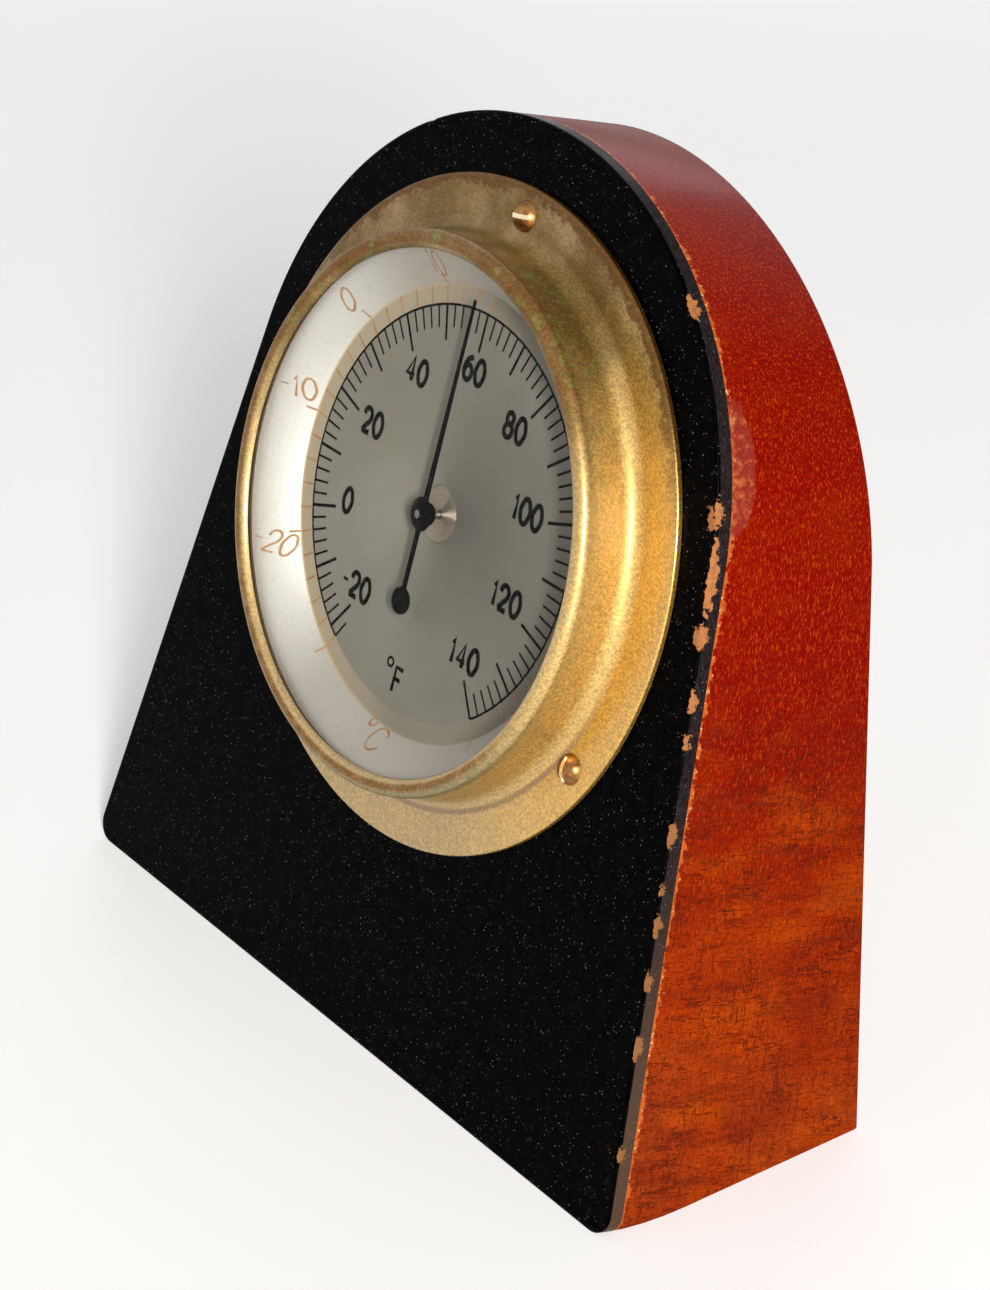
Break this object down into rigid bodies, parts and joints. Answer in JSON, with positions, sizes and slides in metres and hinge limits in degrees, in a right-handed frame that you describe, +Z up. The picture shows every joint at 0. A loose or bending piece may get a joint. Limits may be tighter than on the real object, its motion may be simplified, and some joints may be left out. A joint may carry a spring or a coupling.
{
  "type": "desk thermometer",
  "caption": "Dial thermometer in a leaning arch-topped wooden block with a screwed brass bezel, a glass window and a coil-driven pointer.",
  "frame": {"origin": "middle of the base, on the surface that the block stands on", "axes": "the dial faces -Y and leans back, +X is to the right as seen from the front, +Z is up"},
  "size_m": [0.124, 0.0523, 0.1231],
  "materials": {
    "mahogany": "red-brown stained and varnished, worn at the edges",
    "black_lacquer": "black lacquer on wood, satin gloss, chipped at the edges",
    "aged_brass": "aged lacquered brass, mottled",
    "screw_brass": "tarnished brass",
    "window_glass": "clear flat glass",
    "gasket_card": "dark card",
    "silvered_dial": "satin silvered, printed",
    "black_enamel": "black enamel",
    "scale_ink": "faded orange-brown ink",
    "case_brass": "dull brass",
    "inner_brass": "turned brass",
    "bush_brass": "bright turned brass",
    "steel": "drawn steel",
    "bimetal": "rolled bimetal strip"
  },
  "bodies": {
    "block": {"wooden_body": "mahogany", "front_panel": "black_lacquer", "bezel": "aged_brass", "bezel_screws": "screw_brass", "window_glass": "window_glass", "glass_gasket": "gasket_card", "dial": "silvered_dial", "dial_studs": "inner_brass", "dial_nuts": "inner_brass", "case_cup": "case_brass", "movement_plate": "inner_brass", "pillars": "inner_brass", "pillar_screws": "steel", "centre_bush": "bush_brass", "bush_nut": "inner_brass", "adjuster_washer": "steel"},
    "adjuster": {"adjuster": "case_brass", "adjuster_collar": "case_brass", "coil_stud": "inner_brass", "bimetal_coil": "bimetal"},
    "pointer": {"spindle": "steel", "coil_collet": "inner_brass", "pointer": "black_enamel", "pointer_hub": "black_enamel"}
  },
  "joints": [
    {"name": "adjuster_turn", "type": "hinge", "parent": "block", "child": "adjuster", "pos_m": [0, -0.00277, 0.07177], "axis": [0, 0.9659, -0.2588], "range_deg": [-20, 20]},
    {"name": "pointer_turn", "type": "hinge", "parent": "adjuster", "child": "pointer", "pos_m": [0, -0.00277, 0.07177], "axis": [0, 0.9659, -0.2588], "range_deg": [-147.5, 144], "stiffness_Nm_per_rad": 0.0001, "deforming": ["bimetal_coil"]}
  ]
}
